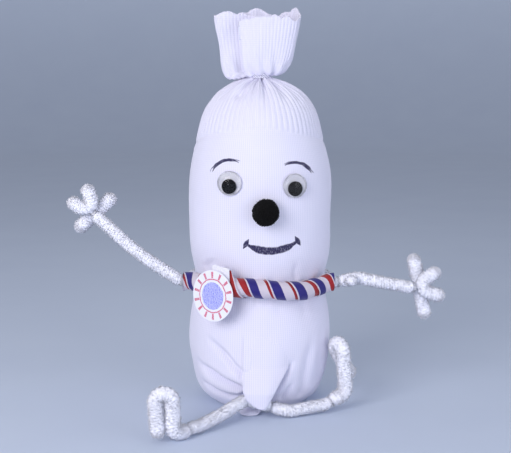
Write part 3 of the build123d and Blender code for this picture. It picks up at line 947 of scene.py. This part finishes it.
def tail(look):
    """The very end of the knit, poking out under the gather onto the floor."""
    columns = 40
    along = np.linspace(0, 1, 40)
    y = np.interp(along, (0, 1), (-18.0, -29.2))
    half = np.interp(along, (0, 0.7, 0.92, 1), (5.6, 5.4, 4.4, 3.0))
    height = np.interp(along, (0, 0.5, 0.9, 1), (5.4, 3.8, 1.9, 1.2))
    turns = circle(columns)
    x = -5.4 + half[:, None] * np.cos(turns) + 0.6 * np.sin(3 * along)[:, None]
    swell = 1 + 0.18 * np.cos(turns * 3 + 2 * along[:, None])
    z = height[:, None] / 2 * (1 + np.sin(turns)) * swell + 0.05
    return knit_tube("sock_tail", grid_of(x, y[:, None], z), y, look)


# The cuff's rim seen from above, as (x, y, height of the rim, how soon the knit flares out above the tie).
RIM = (
    (-10.4, -8.2, 188.6, 0.30), (-4.0, -9.4, 189.6, 0.32), (4.0, -9.6, 191.4, 0.33),
    (11.0, -8.6, 190.6, 0.32), (16.4, -6.4, 189.6, 0.28), (18.6, -4.4, 190.4, 0.27),
    (19.6, -0.4, 192.4, 0.27), (17.4, 3.2, 194.6, 0.27), (12.6, 4.6, 193.4, 0.28),
    (7.6, 4.0, 190.6, 0.28), (3.6, 3.0, 192.6, 0.28), (0.4, 4.2, 194.2, 0.27),
    (-4.0, 2.8, 195.0, 0.24), (-8.6, 4.4, 193.6, 0.2), (-14.0, 5.0, 192.8, 0.16),
    (-19.0, 4.4, 192.6, 0.14), (-22.0, 1.6, 192.0, 0.14), (-21.2, -1.6, 192.0, 0.14),
    (-16.0, -2.4, 193.2, 0.16), (-10.0, -2.0, 193.0, 0.2), (-4.0, -1.8, 191.6, 0.24),
    (-1.4, -4.4, 189.8, 0.26), (-5.6, -6.0, 188.4, 0.28),
)


def closed_curve(points, count):
    """A smooth closed curve through points, as evenly spaced as its own chords."""
    points = np.asarray(points, float)
    share = np.arange(count) / count * len(points)
    number = np.floor(share).astype(int)
    t = (share - number)[:, None]
    before, here, after, beyond = (points[(number + step) % len(points)] for step in (-1, 0, 1, 2))
    return 0.5 * (
        2 * here
        + (after - before) * t
        + (2 * before - 5 * here + 4 * after - beyond) * t**2
        + (3 * here - before - 3 * after + beyond) * t**3
    )


def cuff(look):
    """The ribbed cuff above the tie, flared, folded over itself at the left and open on top."""
    columns, rows = 600, 84
    rim = closed_curve(RIM, columns)
    lengths = np.linalg.norm(np.roll(rim[:, :2], -1, axis=0) - rim[:, :2], axis=1)
    around = np.concatenate([[0], np.cumsum(lengths)[:-1]]) / lengths.sum()
    tie_low, tie_high = box_of("top_tie")
    neck, start = (tie_high[0] - tie_low[0]) / 2 - 0.9, tie_high[2] - 0.6
    turns = np.arctan2(rim[:, 1], rim[:, 0])
    rise = np.linspace(0, 1, rows) ** 2.4
    spread = np.maximum(rise, 1e-6)[:, None] ** rim[None, :, 3]
    foot = np.stack([neck * np.cos(turns), neck * np.sin(turns)], axis=1)
    flat = foot[None] + (rim[None, :, :2] - foot[None]) * spread[:, :, None]
    left = ease(-flat[:, :, 0], 2.0, 12.0)
    level = start + (rim[None, :, 2] - start) * rise[:, None]
    level = level - 2.4 * left * ease(rise, 0.0, 0.02)[:, None] * ease(rise, 0.34, 0.04)[:, None]
    grid = np.concatenate([flat, level[:, :, None]], axis=2)

    normals = grid_normals(grid)
    rib = np.abs(np.sin(math.pi * around * RIBS)) ** 0.7 - 0.6
    worn = 0.3 + 0.7 * ease(rise, 0.02, 0.3)[:, None]
    folds = np.cos(math.tau * around * 13 + 1.5 * lumps(grid, 12.0, 31)) * ease(rise, 0.45, 0.02)[:, None]
    loose = lumps(grid, 9.0, 32)
    bumps = 0.26 * rib[None, :] * worn + 0.65 * folds + 0.45 * loose * ease(rise, 0.03, 0.3)[:, None]
    grid = grid + normals * bumps[:, :, None]
    ragged = lumps(np.stack([around * 140] * 3, axis=1), 5.0, 33)
    scallop = 0.5 * np.abs(np.sin(math.pi * around * RIBS / 3)) + 0.7 * ragged
    grid[:, :, 2] += scallop[None, :] * ease(rise, 0.75, 1.0)[:, None]

    grid = np.concatenate([grid, grid[:, :1]], axis=1)
    wales = np.append(around, 1.0) * RIBS * WALES_PER_RIB
    uv = grid_of(wales[None, :], grid[:, :, 2]).reshape(-1, 2)
    piece = make("sock_cuff", grid.reshape(-1, 3), [grid_faces(rows, columns + 1, False)], look, uv=uv)
    weld(piece)
    wall = piece.modifiers.new("knit", "SOLIDIFY")
    wall.thickness, wall.offset = CUFF_THICK * MM, -1
    apply_modifiers(piece)
    return piece


def apply_modifiers(piece):
    """Makes what the modifiers show the piece's own mesh."""
    shown = bpy.data.meshes.new_from_object(piece.evaluated_get(bpy.context.evaluated_depsgraph_get()))
    piece.modifiers.clear()
    piece.data = shown
    piece.data.shade_smooth()


def knitwear():
    drawn, plain = knit_look(face=True), knit_look()
    place_on(sock(drawn), "torso", "sock_body")
    top = cuff(plain)
    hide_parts("sock_cuff")
    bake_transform(top)
    for piece in (tongue(plain), tail(plain)):
        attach(piece, "torso")
    place_on(fill(fill_look()), "torso", "stuffing")


# ---------------------------------------------------------------- ribbon


def wound(first, last, x_at):
    """How far along the stem and round it a wound ribbon has come, at even steps of its own length."""
    step = 0.42
    at, around, lead = [first], [RIBBON_START * RIBBON_RADIUS], []
    while True:
        x = x_at(at[-1])
        pitch = RIBBON_PITCH + 3.2 * math.exp(-(((x + 9) / 7) ** 2)) + 2.6 * float(ease(x, 20, 30))
        lead.append(math.atan(pitch / (math.tau * RIBBON_RADIUS)))
        if at[-1] > last:
            break
        at.append(at[-1] + step * math.sin(lead[-1]))
        around.append(around[-1] + step * math.cos(lead[-1]))
    return np.array(at)[:, None], np.array(around)[:, None], np.array(lead)[:, None], step * (len(at) - 1)


def ribbon(look):
    """A striped ribbon wound round the front of the collar stem, each turn lapping over the one before."""
    path = even(sagged(centreline("collar_wire", joint_named("left_shoulder")[0])), smooth=2.5)
    lengths = lengths_of(path)
    forward = unit(np.gradient(path, axis=0))
    overrun = RIBBON_WIDTH / 2 * 0.85
    first, last = 0.9 - overrun, lengths[-1] - 0.9 + overrun
    centre, around, lead, length = wound(first, last, lambda at: float(np.interp(at, lengths, path[:, 0])))
    across = np.linspace(0, 1, 33)[None, :]
    aside = (across - 0.5) * RIBBON_WIDTH
    at = np.clip(centre + aside * np.cos(lead), 0.9, lengths[-1] - 2.4)
    turn = (around - aside * np.sin(lead)) / RIBBON_RADIUS
    surface = grid_of(at, turn * RIBBON_RADIUS, across * 0)
    edge = 0.16 * np.exp(-across / 0.03) * (0.4 + np.abs(lumps(surface, 3.0, 42)))
    radius = RIBBON_RADIUS + RIBBON_LAP * ease(across, 0.52, 0.3) + 0.1 * lumps(surface, 4.0, 41) + edge

    def placed(distance, angle, reach):
        """Points at distances along the stem, angles round it and reaches out from its middle."""
        middle, ahead = (at_lengths(distance, lengths, values) for values in (path, forward))
        face = unit(np.cross(ahead, UP))
        spoke = face * np.cos(angle)[:, :, None] - UP * np.sin(angle)[:, :, None]
        return middle + spoke * reach[:, :, None]

    along = np.arange(len(centre))[:, None] * (length / (len(centre) - 1))
    uv = grid_of(across, along)
    outer, inner = placed(at, turn, radius), placed(at, turn, radius - RIBBON_THICK)
    strip = slab(outer[:, ::-1], inner[:, ::-1], uv[:, ::-1])

    # The free end lies over the front and stands up in a point beside the badge.
    low, high = box_of("badge_card")
    up = np.linspace(0, 1, 40)[:, None]
    share = np.linspace(0, 1, 20)[None, :]
    left_x = np.interp(up, (0, 0.75, 1), (low[0] + 18.0, low[0] + 17.5, high[0] - 0.5))
    right_x = np.interp(up, (0, 0.45, 1), (high[0] + 6.4, high[0] + 3.2, high[0] + 0.1))
    x = left_x + (right_x - left_x) * share
    wrap = np.broadcast_to(np.interp(up, (0, 0.7, 1), (1.75, -0.62, -0.62)), x.shape)
    reach = np.full(x.shape, RIBBON_RADIUS + RIBBON_LAP + 0.42)
    flat = placed(np.interp(x, path[:, 0], lengths), wrap, reach)
    flat = flat + (5.4 * np.clip((up - 0.7) / 0.3, 0, 1))[:, :, None] * np.array([0, 0.12, 1.0])
    patch_uv = grid_of(0.70 + 0.3 * share, up * 18.0)
    flap = slab(flat, flat + np.array([0, RIBBON_THICK, 0]), patch_uv)

    points, uv = (np.concatenate([strip[part], flap[part]]) for part in (0, 2))
    piece = make("neck_ribbon", points, [strip[1], flap[1] + len(strip[0])], look, uv=uv)
    place_on(piece, "torso", "neck_ribbon")


def slab(front, back, uv):
    """(points, quads, UVs) of a thin closed sheet between two grids of points."""
    rows, columns = front.shape[:2]
    loop = np.concatenate([front, back[:, ::-1]], axis=1)
    around = 2 * columns
    here = np.arange(columns - 1)
    end = np.stack([here, here + 1, around - 2 - here, around - 1 - here], axis=1)
    quads = np.concatenate([grid_faces(rows, around), end[:, ::-1], end + (rows - 1) * around])
    return loop.reshape(-1, 3), quads, np.concatenate([uv, uv[:, ::-1]], axis=1).reshape(-1, 2)


# ---------------------------------------------------------------- face and badge


def pompom(look):
    """A ball of cut yarn: a small core and strands that all reach the same rough sphere."""
    random = np.random.default_rng(70)
    low, high = box_of("nose_pompom")
    radius = (high[2] - low[2]) / 2
    centre = np.array([(low[0] + high[0]) / 2, low[1] + radius, (low[2] + high[2]) / 2])
    tilt = np.linspace(0.03, math.pi - 0.03, 24)[:, None]
    turn = circle(40)[None, :]
    ways = np.sin(tilt) * np.cos(turn), np.sin(tilt) * np.sin(turn), -np.cos(tilt)
    ball = grid_of(*ways)
    core = centre + ball * (radius * 0.86 * (1 + 0.03 * lumps(ball * 6, 1.2, 71)))[:, :, None]
    points, faces, _ = capped(core)
    out = unit(random.normal(size=(STRANDS, 3)))
    out = out[out[:, 1] < 0.86]
    count = len(out)
    lean = unit(out + random.normal(0, 0.16, (count, 3)))
    reach = radius * (0.985 + 0.035 * lumps(out * 6, 2.0, 72) + random.normal(0, 0.018, count))
    root, tip = centre + out * radius * 0.7, centre + lean * reach[:, None]
    turns = random.uniform(0, math.tau, count)[:, None]
    yarn, yarn_faces = strands(root, tip, lean, (0.1, 0.2, 1.0), STRAND_HALF_WIDTH, turns, 0.8, len(points))
    piece = make("nose_pompom", np.concatenate([points, yarn]), [*faces, *yarn_faces], look)
    place_on(piece, "torso", "nose_pompom")


def card_frame():
    """The middle of the card's hinge, the way to its right along it and the way out from the card's face."""
    hinge, axis = joint_named("badge_flap")
    return hinge, -axis, np.array([-axis[1], axis[0], 0.0])


def badge():
    """An oval of card, slightly bowed, that hangs from its top edge."""
    low, high = box_of("badge_card")
    hinge, right, outward = card_frame()
    height = high[2] - low[2]
    width = (high[0] - low[0] - 0.15) / right[0]
    shares = np.sin(np.linspace(0.02, 1, 24) * math.pi / 2)[:, None]
    turn = circle(120)[None, :]
    x, z = shares * width / 2 * np.cos(turn), shares * height / 2 * np.sin(turn)
    bow = 0.5 * (1 - (x / (width / 2)) ** 2) + 0.25 * np.sin(z / height * 3 + x / width * 2) - 0.2
    sheet = hinge - (0, 0, height / 2) + x[:, :, None] * right + z[:, :, None] * UP
    front, back = (sheet + (bow + out)[:, :, None] * outward for out in (CARD_THICK, 0.0))
    uv = np.stack([x, z], axis=2)
    plain = (width, 0)
    points, faces, uv = capped(np.concatenate([front, back[::-1]]), np.concatenate([uv, uv * 0 + plain]))
    uv[-2:] = (0, 0), plain
    faces = [corners[:, ::-1] for corners in faces]
    piece = make("badge_card", points, faces, card_look(width, height), uv=uv)
    place_on(piece, "badge", "badge_card")


def tab(look):
    """The paper tab that holds the card: a strip behind its top edge, which slopes down to the right."""
    low, high = box_of("badge_card")
    hinge, right, outward = card_frame()
    share = np.linspace(0, 1, 24)[None, :]
    up = np.linspace(0, 1, 16)[:, None]
    side = np.interp(share, (0, 1), (-0.8, 7.8))
    top = np.interp(share, (0, 0.2, 1), (1.8, 2.3, 0.6)) + 0.15 * np.sin(share * 9)
    round_edge = (high[2] - low[2]) / 2 * (1 - np.sqrt(1 - (side / 10.6) ** 2))
    rise = -1.5 - round_edge + (top + 1.5 + round_edge) * up
    out = -1.1 + 0.2 * up + 0.15 * np.cos(share * 4)
    front = hinge + side[:, :, None] * right + out[:, :, None] * outward + rise[:, :, None] * UP
    uv = grid_of(side, rise)
    points, quads, uv = slab(front, front - TAB_THICK * outward, uv)
    place_on(make("badge_tab", points, [quads], look, uv=uv), "torso", "badge_tab")


def finish_cad_nodes():
    """Materials for the CAD nodes that stay as they are."""
    white = plastic_look("eye_white", srgb(232, 232, 246), srgb(244, 244, 252), 0.4)
    black = plastic_look("black_plastic", srgb(4, 4, 7), srgb(9, 9, 14), 0.2, Specular_IOR_Level=0.25)
    clear, glue, wire = clear_look(), glue_look(), wire_look()
    looks = {"top_tie": thread_look()}
    for kind, look in (("eye_back", white), ("pupil", black), ("eye_dome", clear), ("eye_glue", glue)):
        looks |= {f"left_{kind}": look, f"right_{kind}": look}
    for name, node in frame["nodes"].items():
        look = wire if name.endswith("wire") else looks.get(name)
        if look:
            node.data.materials.clear()
            node.data.materials.append(look)
        if name.endswith("eye_dome"):
            node.visible_shadow = False


# ---------------------------------------------------------------- studio


def studio():
    """A pale floor that sweeps up all round, three lights and the camera."""
    radius, bend, top = 1500.0, 500.0, 2200.0
    arc = np.radians(np.linspace(-90, 0, 24))
    curve = list(zip(radius + bend * np.cos(arc), bend + bend * np.sin(arc)))
    turns = circle(96)
    flat, bent = [(1.0, 0.0), (400.0, 0.0), (radius, 0.0)], [*curve, (radius + bend, top)]
    for name, profile in (("floor", flat), ("surround", bent)):
        look = Look(name, srgb(200, 211, 230), 0.9, Emission_Color=srgb(200, 211, 230))
        glow = look.split(look.place())[2].ramp(0.0, 900.0, 0.0, 0.34)
        look.join(glow, look.shader.inputs["Emission Strength"])
        look.colour(look.mix(look.place().noise(60.0), srgb(197, 208, 228), srgb(203, 214, 232)))
        out, height = np.array(profile).T[:, :, None]
        rows = grid_of(out * np.cos(turns), out * np.sin(turns), height - 0.05)
        points = np.concatenate([rows.reshape(-1, 3), [[0, 0, -0.05]]])
        faces = [grid_faces(len(rows), len(turns))[:, ::-1]]
        if name == "floor":
            faces.append(cap_faces(np.arange(len(turns)), rows[:, :, 0].size))
        sweep = make(name, points, faces, look.material)
        if name == "surround":
            sweep.visible_diffuse = sweep.visible_glossy = sweep.visible_shadow = False

    for name, place, energy, size, colour in (
        ("key", (-380, -560, 340), 3.1, 0.4, (1.0, 0.97, 0.995)),
        ("fill", (500, -420, 140), 2.0, 0.6, (0.88, 0.9, 1.0)),
        ("top", (40, 160, 620), 0.4, 0.5, (0.96, 0.97, 1.0)),
    ):
        data = bpy.data.lights.new(name, "AREA")
        data.energy, data.size, data.color = energy, size, colour
        light = bpy.data.objects.new(name, data)
        light.location = Vector(place) * MM
        aim = Vector((0, 0, 90)) * MM - light.location
        light.rotation_euler = aim.to_track_quat("-Z", "Y").to_euler()
        bpy.context.scene.collection.objects.link(light)

    world = bpy.data.worlds.new("studio")
    world.use_nodes = True
    sky = world.node_tree.nodes["Background"]
    sky.inputs["Color"].default_value = (0.84, 0.88, 1.0, 1.0)
    sky.inputs["Strength"].default_value = 0.42
    bpy.context.scene.world = world

    bpy.context.scene.view_settings.view_transform = "Standard"
    lens = bpy.data.cameras.new("camera")
    lens.lens, lens.sensor_width = LENS, 36.0
    camera = bpy.data.objects.new("camera", lens)
    camera.location = Vector(CAMERA_PLACE) * MM
    look_way = Vector(CAMERA_TARGET) - Vector(CAMERA_PLACE)
    camera.rotation_euler = look_way.to_track_quat("-Z", "Y").to_euler()
    bpy.context.scene.collection.objects.link(camera)
    bpy.context.scene.camera = camera


studio()
knitwear()
stems(chenille_look())
ribbon(ribbon_look())
pompom(pompom_look())
badge()
tab(paper_look())
finish_cad_nodes()
